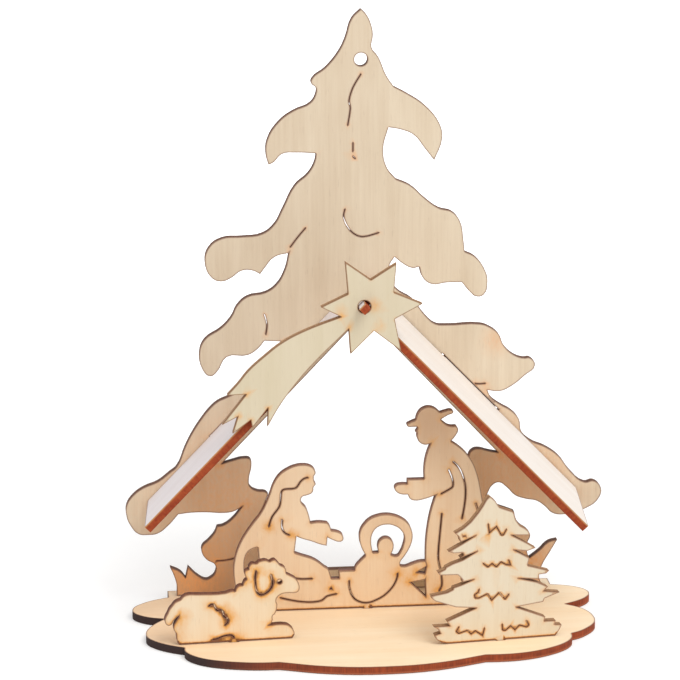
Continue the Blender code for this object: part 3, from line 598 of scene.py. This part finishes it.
class SheetPress:
    """The Geometry Nodes tree that gives a flat net its thickness, wall and materials."""

    MERGE_WITHIN = 1e-6

    def __init__(self) -> None:
        """Build the tree with its named inputs."""
        self.tree = bpy.data.node_groups.new("plywood_sheet", "GeometryNodeTree")
        self.nodes = self.tree.nodes
        self.links = self.tree.links
        self.inputs = {}
        face = self.tree.interface
        for name, kind in (("Net", "NodeSocketGeometry"), ("Into Sheet", "NodeSocketVector"),
                           ("Thickness", "NodeSocketFloat"), ("Corner Angle", "NodeSocketFloat"),
                           ("Face", "NodeSocketMaterial"), ("Cut", "NodeSocketMaterial")):
            socket = face.new_socket(name=name, in_out="INPUT", socket_type=kind)
            self.inputs[name] = socket.identifier
        face.new_socket(name="Sheet", in_out="OUTPUT", socket_type="NodeSocketGeometry")
        self._wire()

    def _node(self, kind: str, **links: object) -> bpy.types.Node:
        """A node with its inputs linked or set, by their names."""
        node = self.nodes.new(kind)
        for name, value in links.items():
            socket = node.inputs[name.replace("_", " ")]
            if isinstance(value, bpy.types.NodeSocket):
                self.links.new(value, socket)
            else:
                socket.default_value = value
        return node

    def _wire(self) -> None:
        """Net in, closed sheet out."""
        given = self.nodes.new("NodeGroupInput").outputs
        back = self._node("GeometryNodeFlipFaces", Mesh=given["Net"])
        pressed = self._node("GeometryNodeExtrudeMesh", Mesh=back.outputs["Mesh"],
                             Offset=given["Into Sheet"], Offset_Scale=given["Thickness"],
                             Individual=False)
        walls = self._node("GeometryNodeSetMaterial", Geometry=pressed.outputs["Mesh"],
                           Material=given["Face"])
        walls = self._node("GeometryNodeSetMaterial", Geometry=walls.outputs["Geometry"],
                           Selection=pressed.outputs["Side"], Material=given["Cut"])
        round_walls = self._node("GeometryNodeSetShadeSmooth", Geometry=walls.outputs["Geometry"],
                                 Selection=pressed.outputs["Side"], Shade_Smooth=True)
        front = self._node("GeometryNodeSetMaterial", Geometry=given["Net"], Material=given["Face"])
        both = self.nodes.new("GeometryNodeJoinGeometry")
        self.links.new(front.outputs["Geometry"], both.inputs["Geometry"])
        self.links.new(round_walls.outputs["Geometry"], both.inputs["Geometry"])
        closed = self._node("GeometryNodeMergeByDistance", Geometry=both.outputs["Geometry"],
                            Distance=self.MERGE_WITHIN)
        angle = self.nodes.new("GeometryNodeInputMeshEdgeAngle")
        sharp = self._node("FunctionNodeCompare")
        sharp.data_type = "FLOAT"
        sharp.operation = "GREATER_THAN"
        self.links.new(angle.outputs["Unsigned Angle"], sharp.inputs["A"])
        self.links.new(given["Corner Angle"], sharp.inputs["B"])
        cornered = self._node("GeometryNodeSetShadeSmooth", Geometry=closed.outputs["Geometry"],
                              Selection=sharp.outputs["Result"], Shade_Smooth=False)
        cornered.domain = "EDGE"
        real = self._node("GeometryNodeRealizeInstances", Geometry=cornered.outputs["Geometry"])
        result = self.nodes.new("NodeGroupOutput")
        self.links.new(real.outputs["Geometry"], result.inputs["Sheet"])

    def press(self, name: str, flat: bpy.types.Mesh, into: np.ndarray, face: bpy.types.Material,
              cut: bpy.types.Material) -> bpy.types.Object:
        """Run the tree on one flat net.

        Args:
            name: The finished piece's name.
            flat: The net.
            into: The direction from the show face into the sheet.
            face: The material of both faces.
            cut: The material of the wall.

        Returns:
            The piece as a plain mesh object.
        """
        blank = bpy.data.objects.new(name + "_blank", flat)
        bpy.context.scene.collection.objects.link(blank)
        modifier = blank.modifiers.new("plywood_sheet", "NODES")
        modifier.node_group = self.tree
        modifier[self.inputs["Into Sheet"]] = tuple(float(x) for x in into)
        modifier[self.inputs["Thickness"]] = PLY * MM
        modifier[self.inputs["Corner Angle"]] = CORNER_ANGLE
        modifier[self.inputs["Face"]] = face
        modifier[self.inputs["Cut"]] = cut
        bpy.context.view_layer.update()
        ready = blank.evaluated_get(bpy.context.evaluated_depsgraph_get())
        mesh = bpy.data.meshes.new_from_object(ready)
        mesh.name = name
        bpy.data.objects.remove(blank)
        piece = bpy.data.objects.new(name, mesh)
        bpy.context.scene.collection.objects.link(piece)
        return piece


@dataclass
class PlywoodPiece:
    """One cut piece of the stable: what it is cut from and how it is finished."""

    name: str
    node: str
    body: str
    slot: str
    face: BirchFace
    cut: CutEdge
    facing: Facing = Facing.FRONT
    grain: Grain = Grain.UPRIGHT
    scorch: Scorch = field(default_factory=Scorch)

    @staticmethod
    def patches(points: np.ndarray, spots: tuple[tuple[float, float, float, float], ...]
                ) -> np.ndarray:
        """What soft round patches add up to at each point.

        Args:
            points: The points in the frame, in millimetres.
            spots: Each patch's x, z, radius and strength.

        Returns:
            The sum at each point.
        """
        total = np.zeros(len(points))
        for x, z, radius, strength in spots:
            away = np.hypot(points[:, 0] - x, points[:, 2] - z)
            total += strength * np.exp(-(away / radius) ** 2)
        return total

    def marks(self, sheet: Sheet, places: np.ndarray) -> dict[str, np.ndarray]:
        """How far each point is from a cut, how hard it is scorched, and its painted shade and stain.

        Args:
            sheet: The piece's sheet.
            places: Points on the sheet.

        Returns:
            The distance in millimetres as the rim, the scorch with its painted contact shade and
            warm bounce light, and the painted shade and stain, 0 for none and 1 for strong.
        """
        near, _ = sheet.measure(places)
        crowd = sheet.crowding(places, self.scorch.reach)
        scorch_and_shade = np.clip(crowd - self.scorch.start, 0, None) * self.scorch.gain
        spots, sharpness = sheet.inner_corners()
        ends = sheet.warmth(places, spots, sharpness, self.scorch.ends_reach)
        scorch_and_shade += self.scorch.ends * np.minimum(ends, self.scorch.ENDS_LIMIT)
        scorch_and_shade += self.scorch.glow * np.exp(-(near / self.scorch.glow_reach) ** 2)
        points = sheet.in_frame(places) / MM
        scorch_and_shade += self.patches(points, self.scorch.spots)
        # painted contact shade, over the burnt edge, along the bottom of the piece
        low = points[:, 2] < self.scorch.foot_char_and_shade_height
        scorch_and_shade += self.scorch.foot_char_and_shade * low * np.exp(-(near / self.scorch.FOOT_CHAR_AND_SHADE_REACH) ** 2)
        return {"rim": near, "scorch_and_shade": scorch_and_shade, "shade_and_stain": self.patches(points, self.scorch.shade_and_stain_patches)}

    def build(self, nodes: dict[str, bpy.types.Object], press: SheetPress) -> bpy.types.Object:
        """Make the piece from its frame node.

        Args:
            nodes: The frame's nodes.
            press: The tree that gives a net its thickness.

        Returns:
            The finished piece.
        """
        sheet = Sheet(nodes[self.node], self.facing, self.grain)
        places, faces = sheet.net()
        flat = bpy.data.meshes.new(self.name + "_net")
        flat.from_pydata(sheet.in_frame(places).tolist(), [], faces)
        for name, values in self.marks(sheet, places).items():
            fact = flat.attributes.new(name, "FLOAT", "POINT")
            fact.data.foreach_set("value", values.astype(np.float32))
        piece = press.press(self.name, flat, -sheet.normal, self.face.material(),
                            self.cut.material())
        mesh = piece.data
        world = np.array([v.co for v in mesh.vertices], float)
        fact = mesh.attributes.new("sheet", "FLOAT_VECTOR", "POINT")
        fact.data.foreach_set("vector", sheet.on_sheet(world).astype(np.float32).ravel())
        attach(piece, self.body)
        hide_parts(self.node)
        LOG.info("%s: %d points", self.name, len(mesh.vertices))
        return piece


DARK_CUT = CutEdge("dark_cut", Tone(116, 76, 52), Tone(74, 48, 38), Tone(92, 64, 50),
                   Tone(120, 88, 70), Tone(80, 60, 52))
BROWN_CUT = CutEdge("brown_cut", Tone(156, 112, 92), Tone(108, 74, 60), Tone(196, 146, 112),
                    Tone(108, 76, 66), Tone(150, 122, 112), top_share=0.35)
THIN_CUT = CutEdge("thin_cut", Tone(180, 142, 104), Tone(146, 108, 78), Tone(108, 74, 48),
                   Tone(172, 134, 98), Tone(160, 122, 90), top_share=0.45)
WARM_CUT = CutEdge("warm_cut", Tone(136, 88, 66), Tone(88, 54, 40), Tone(150, 98, 70),
                   Tone(98, 62, 50), Tone(150, 118, 106), top_share=0.3)
RED_CUT = CutEdge("red_cut", Tone(176, 82, 40), Tone(136, 48, 24), Tone(212, 166, 110),
                  Tone(150, 62, 32), Tone(128, 58, 34), top_share=0.22, low_share=0.12,
                  lumps=(1.0, 1.0, 0.6))


@dataclass
class Base:
    """The cloud-shaped plate that everything plugs into."""

    # The stain tone here, the wall's dark shade gain and the one patch below paint shade on the left
    # end of the base, face and wall, away from the key lamp.
    face: BirchFace = BirchFace("base_face", Tone(255, 236, 206), Tone(250, 223, 184), fibre=0.3,
                                shade_and_stain=Tone(216, 144, 84))
    cut: CutEdge = CutEdge("base_cut", Tone(178, 82, 42), Tone(112, 50, 30), Tone(126, 66, 42),
                           Tone(176, 100, 66), Tone(96, 62, 50), painted_wall_shade_gain=6.0)
    scorch: Scorch = Scorch(gain=0.25, ends=0.2, glow=0.12, glow_reach=1.2,
                            shade_and_stain_patches=((-92.0, 3.0, 44.0, 0.24),))

    def build(self, nodes: dict[str, bpy.types.Object], press: SheetPress) -> None:
        """Make the plate."""
        PlywoodPiece("base_board", "base_plate", "base", "base_wood", self.face, self.cut,
                     Facing.UP, Grain.SIDEWAYS, self.scorch).build(nodes, press)


@dataclass
class TreeBack:
    """The tall fir with the gabled opening, which is the back of the stable."""

    # The warm scorch and stain tones below also colour the painted shade under the roof.
    face: BirchFace = BirchFace("tree_face", Tone(231, 215, 190), Tone(213, 193, 166),
                                scorch=Tone(234, 166, 104), shade_and_stain=Tone(146, 98, 56))
    cut: CutEdge = DARK_CUT
    # The four broad spots on the legs and feet paint warm shade and bounce light under the roof, over
    # some real scorch.
    scorch: Scorch = Scorch(gain=0.3, ends=0.3, spots=(
        (-54.0, 44.0, 30.0, 0.4), (-66.0, 10.0, 16.0, 0.5), (58.0, 46.0, 30.0, 0.4),
        (70.0, 8.0, 14.0, 0.5), (53.0, 103.0, 6.0, 0.3), (45.4, 81.0, 4.0, 0.25)), shade_and_stain_patches=(
        # Painted shade: the first three patches darken the left side, the top and the part under the
        # roof, away from the key lamp; the last three darken and brown the left foot, partly painted
        # shade and partly the wood's own colour.
        (-62.0, 80.0, 26.0, 0.16), (-50.0, 160.0, 50.0, 0.1), (0.0, 220.0, 30.0, 0.05),
        (-66.0, 6.0, 20.0, 0.5), (-52.0, 28.0, 18.0, 0.15), (-54.0, 2.0, 12.0, 0.2)))

    def build(self, nodes: dict[str, bpy.types.Object], press: SheetPress) -> None:
        """Make the tree."""
        PlywoodPiece("tree_back", "tree_panel", "tree", "tree_wood", self.face, self.cut,
                     scorch=self.scorch).build(nodes, press)


@dataclass
class Roof:
    """Both roof planks, the left one with the square peg."""

    left_face: BirchFace = BirchFace("left_plank_face", Tone(241, 234, 236), Tone(231, 222, 222),
                                     fibre=0.3, flecks=0.05)
    right_face: BirchFace = BirchFace("right_plank_face", Tone(243, 236, 230), Tone(235, 224, 214),
                                      fibre=0.3, flecks=0.05)
    cut: CutEdge = RED_CUT
    scorch: Scorch = Scorch(gain=0.1, ends=0.1)

    def build(self, nodes: dict[str, bpy.types.Object], press: SheetPress) -> None:
        """Make both planks."""
        for side, face in (("left", self.left_face), ("right", self.right_face)):
            PlywoodPiece(f"{side}_plank", f"roof_{side}", "roof", f"roof_{side}_wood", face,
                         self.cut, Facing.UP, Grain.SIDEWAYS, self.scorch).build(nodes, press)


@dataclass
class Comet:
    """The six-pointed star with its forked tail."""

    face: BirchFace = BirchFace("comet_face", Tone(222, 209, 183), Tone(212, 198, 168), fibre=0.3,
                                flecks=0.05, rim=Tone(140, 92, 56), rim_width=0.42)
    cut: CutEdge = THIN_CUT
    scorch: Scorch = Scorch(gain=0.3, ends=0.6, spots=(
        (0.2, 128.4, 2.7, 0.5), (2.5, 120.6, 2.2, 0.35), (-12.0, 127.0, 2.5, 0.3)))

    def build(self, nodes: dict[str, bpy.types.Object], press: SheetPress) -> None:
        """Make the comet."""
        PlywoodPiece("comet_star", "comet", "comet", "comet_wood", self.face, self.cut,
                     scorch=self.scorch).build(nodes, press)


@dataclass
class Figures:
    """The kneeling figure, the crib with its halo and the standing figure, in one panel."""

    face: BirchFace = BirchFace("figures_face", Tone(246, 222, 190), Tone(236, 204, 168))
    cut: CutEdge = BROWN_CUT
    # The two broad low spots paint warm bounce light from the base on the lower figures; the small
    # spots are real scorch at slit ends; the foot value paints contact shade along the bottom edge,
    # over its burnt edge.
    scorch: Scorch = Scorch(glow=0.06, foot_char_and_shade=3.0, spots=(
        (0.0, 12.0, 24.0, 0.08), (-37.4, 37.0, 2.8, 0.5), (-28.2, 33.9, 2.2, 0.4),
        (11.9, 16.4, 2.5, 0.35), (16.9, 13.8, 3.0, 0.35), (19.6, 17.8, 2.0, 0.3),
        (27.8, 9.3, 2.5, 0.35), (32.0, 12.0, 14.0, 0.2)), shade_and_stain_patches=(
        # Painted shade: the roof's shadow on the heads and upper parts of the figures.
        (24.0, 78.0, 14.0, 0.4), (-28.0, 54.0, 14.0, 0.1), (6.0, 36.0, 9.0, 0.2),
        (26.0, 58.0, 16.0, 0.1)))

    def build(self, nodes: dict[str, bpy.types.Object], press: SheetPress) -> None:
        """Make the panel of figures."""
        PlywoodPiece("figures_panel", "family_panel", "figures", "family_wood", self.face,
                     self.cut, scorch=self.scorch).build(nodes, press)


@dataclass
class Foreground:
    """The lying sheep and the small fir, which stand in front of the figures."""

    sheep_face: BirchFace = BirchFace("sheep_face", Tone(240, 222, 194), Tone(232, 206, 170))
    fir_face: BirchFace = BirchFace("small_fir_face", Tone(232, 219, 195), Tone(224, 205, 176),
                                    rim=Tone(150, 100, 74))
    sheep_cut: CutEdge = WARM_CUT
    fir_cut: CutEdge = THIN_CUT
    # The foot value paints contact shade along the bottom edge where the piece stands on the base,
    # over its burnt edge.
    sheep_scorch: Scorch = Scorch(
        reach=1.4, start=0.7, gain=0.9, ends_reach=1.7, glow=0.08, foot_char_and_shade=3.0, spots=(
            (-55.0, 12.9, 3.2, 0.6), (-56.8, 16.0, 2.5, 0.4), (-38.5, 24.1, 2.5, 0.5),
            (-43.3, 30.5, 2.2, 0.45), (-42.7, 20.7, 2.4, 0.45), (-47.8, 26.4, 2.2, 0.3),
            (-72.9, 12.0, 2.6, 0.45), (-73.7, 6.5, 3.2, 0.35), (-51.0, 4.5, 2.4, 0.45)))
    # The foot value paints contact shade along the bottom edge where the piece stands on the base,
    # over its burnt edge.
    fir_scorch: Scorch = Scorch(start=0.9, gain=0.7, ends=0.4, foot_char_and_shade=3.0)

    def build(self, nodes: dict[str, bpy.types.Object], press: SheetPress) -> None:
        """Make both pieces."""
        PlywoodPiece("sheep_panel", "sheep", "sheep", "sheep_wood", self.sheep_face,
                     self.sheep_cut, scorch=self.sheep_scorch).build(nodes, press)
        PlywoodPiece("small_fir_panel", "small_fir", "small_fir", "small_fir_wood", self.fir_face,
                     self.fir_cut, scorch=self.fir_scorch).build(nodes, press)


@dataclass(frozen=True)
class SoftLamp:
    """A square studio lamp that looks at the stable."""

    name: str
    place: tuple[float, float, float]
    size: float
    power: float
    colour: tuple[float, float, float] = (1.0, 1.0, 1.0)

    def hang(self, target: Vector) -> None:
        """Put the lamp up, turned to the target."""
        lamp = bpy.data.lights.new(self.name, "AREA")
        lamp.shape = "SQUARE"
        lamp.size = self.size
        lamp.energy = self.power
        lamp.color = self.colour
        holder = bpy.data.objects.new(self.name, lamp)
        holder.location = self.place
        holder.rotation_euler = (target - Vector(self.place)).to_track_quat("-Z", "Y").to_euler()
        bpy.context.scene.collection.objects.link(holder)


@dataclass
class Studio:
    """Camera, lamps, white surroundings and floor."""

    camera_place: tuple[float, float, float] = (-0.11767, -1.03388, 0.37884)
    camera_yaw: float = 5.837
    camera_pitch: float = 14.269
    camera_roll: float = -0.03
    focal_in_pixels: float = 2900.0
    picture_width: float = 680.0
    sensor: float = 36.0
    sees_from: float = 0.01
    sees_to: float = 50.0
    floor_size: float = 12.0
    floor_drop: float = 0.0002
    floor_grey: float = 0.8
    glow_near: float = 0.3
    glow_far: float = 1.0
    glow_starts: float = 0.2
    glow_ends: float = 0.7
    surroundings: float = 0.75
    lamps_look_at: tuple[float, float, float] = (0.0, 0.0, 0.09)
    lamps: tuple[SoftLamp, ...] = (
        SoftLamp("key_lamp", (0.6, -0.85, 1.55), 1.0, 15.0, (1.0, 0.98, 0.95)),
        SoftLamp("fill_lamp", (-1.0, -1.5, 0.7), 1.2, 3.0),
    )

    def set_camera(self) -> None:
        """Place the camera where the photograph was taken from."""
        yaw, pitch, roll = (math.radians(a) for a in
                            (self.camera_yaw, self.camera_pitch, self.camera_roll))
        ahead = Vector((math.sin(yaw) * math.cos(pitch), math.cos(yaw) * math.cos(pitch),
                        -math.sin(pitch)))
        level = Vector((math.cos(yaw), -math.sin(yaw), 0))
        right = math.cos(roll) * level + math.sin(roll) * level.cross(ahead)
        turn = Matrix((right, right.cross(ahead), -ahead)).transposed().to_4x4()
        camera = bpy.data.cameras.new("camera")
        camera.sensor_width = self.sensor
        camera.lens = self.focal_in_pixels / self.picture_width * self.sensor
        camera.clip_start = self.sees_from
        camera.clip_end = self.sees_to
        holder = bpy.data.objects.new("camera", camera)
        holder.matrix_world = Matrix.Translation(self.camera_place) @ turn
        bpy.context.scene.collection.objects.link(holder)
        bpy.context.scene.camera = holder

    def lay_floor(self) -> None:
        """A white floor that keeps the shadow, and glows a little for the camera alone."""
        half = self.floor_size / 2
        level = -self.floor_drop
        sides = ((-half, -half), (half, -half), (half, half), (-half, half))
        mesh = bpy.data.meshes.new("studio_floor")
        mesh.from_pydata([(x, y, level) for x, y in sides], [], [(0, 1, 2, 3)])
        floor = bpy.data.objects.new("studio_floor", mesh)
        bpy.context.scene.collection.objects.link(floor)
        material = bpy.data.materials.new("studio_floor")
        material.use_nodes = True
        nodes = material.node_tree.nodes
        links = material.node_tree.links
        shader = nodes["Principled BSDF"]
        shader.inputs["Base Color"].default_value = (*[self.floor_grey] * 3, 1)
        shader.inputs["Roughness"].default_value = 1.0
        shader.inputs["Specular IOR Level"].default_value = 0.0
        place = nodes.new("ShaderNodeTexCoord")
        away = nodes.new("ShaderNodeVectorMath")
        away.operation = "LENGTH"
        links.new(place.outputs["Object"], away.inputs[0])
        glow = nodes.new("ShaderNodeMapRange")
        for name, number in (("From Min", self.glow_starts), ("From Max", self.glow_ends),
                             ("To Min", self.glow_near), ("To Max", self.glow_far)):
            glow.inputs[name].default_value = number
        links.new(away.outputs["Value"], glow.inputs["Value"])
        rays = nodes.new("ShaderNodeLightPath")
        seen = nodes.new("ShaderNodeMath")
        seen.operation = "MULTIPLY"
        links.new(glow.outputs["Result"], seen.inputs[1])
        links.new(rays.outputs["Is Camera Ray"], seen.inputs[0])
        shader.inputs["Emission Color"].default_value = (1, 1, 1, 1)
        links.new(seen.outputs[0], shader.inputs["Emission Strength"])
        mesh.materials.append(material)

    def light(self) -> None:
        """Even light from all round, white behind the object, and the lamps."""
        world = bpy.data.worlds.new("surroundings")
        world.use_nodes = True
        bpy.context.scene.world = world
        nodes = world.node_tree.nodes
        links = world.node_tree.links
        sky = nodes["Background"]
        rays = nodes.new("ShaderNodeLightPath")
        seen = nodes.new("ShaderNodeMath")
        seen.operation = "MAXIMUM"
        links.new(rays.outputs["Is Camera Ray"], seen.inputs[0])
        links.new(rays.outputs["Is Glossy Ray"], seen.inputs[1])
        strength = nodes.new("ShaderNodeMapRange")
        strength.inputs["To Min"].default_value = self.surroundings
        strength.inputs["To Max"].default_value = 1.0
        links.new(seen.outputs[0], strength.inputs["Value"])
        sky.inputs["Color"].default_value = (1, 1, 1, 1)
        links.new(strength.outputs["Result"], sky.inputs["Strength"])
        for lamp in self.lamps:
            lamp.hang(Vector(self.lamps_look_at))

    def build(self) -> None:
        """Set up the whole studio."""
        self.set_camera()
        self.lay_floor()
        self.light()
        bpy.context.scene.view_settings.view_transform = "Standard"


def corners(bounds: tuple[Vector, Vector]) -> list[list[float]]:
    """A box as plain lists of numbers."""
    return [list(corner) for corner in bounds]


def main() -> None:
    """Build the stable and its studio."""
    logging.basicConfig(level=logging.INFO, format="%(name)s: %(message)s")
    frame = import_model()
    press = SheetPress()
    for part in (Base(), TreeBack(), Roof(), Comet(), Figures(), Foreground()):
        part.build(frame["nodes"], press)
        LOG.info("built %s", type(part).__name__)
    Studio().build()


if __name__ == "__main__":
    main()
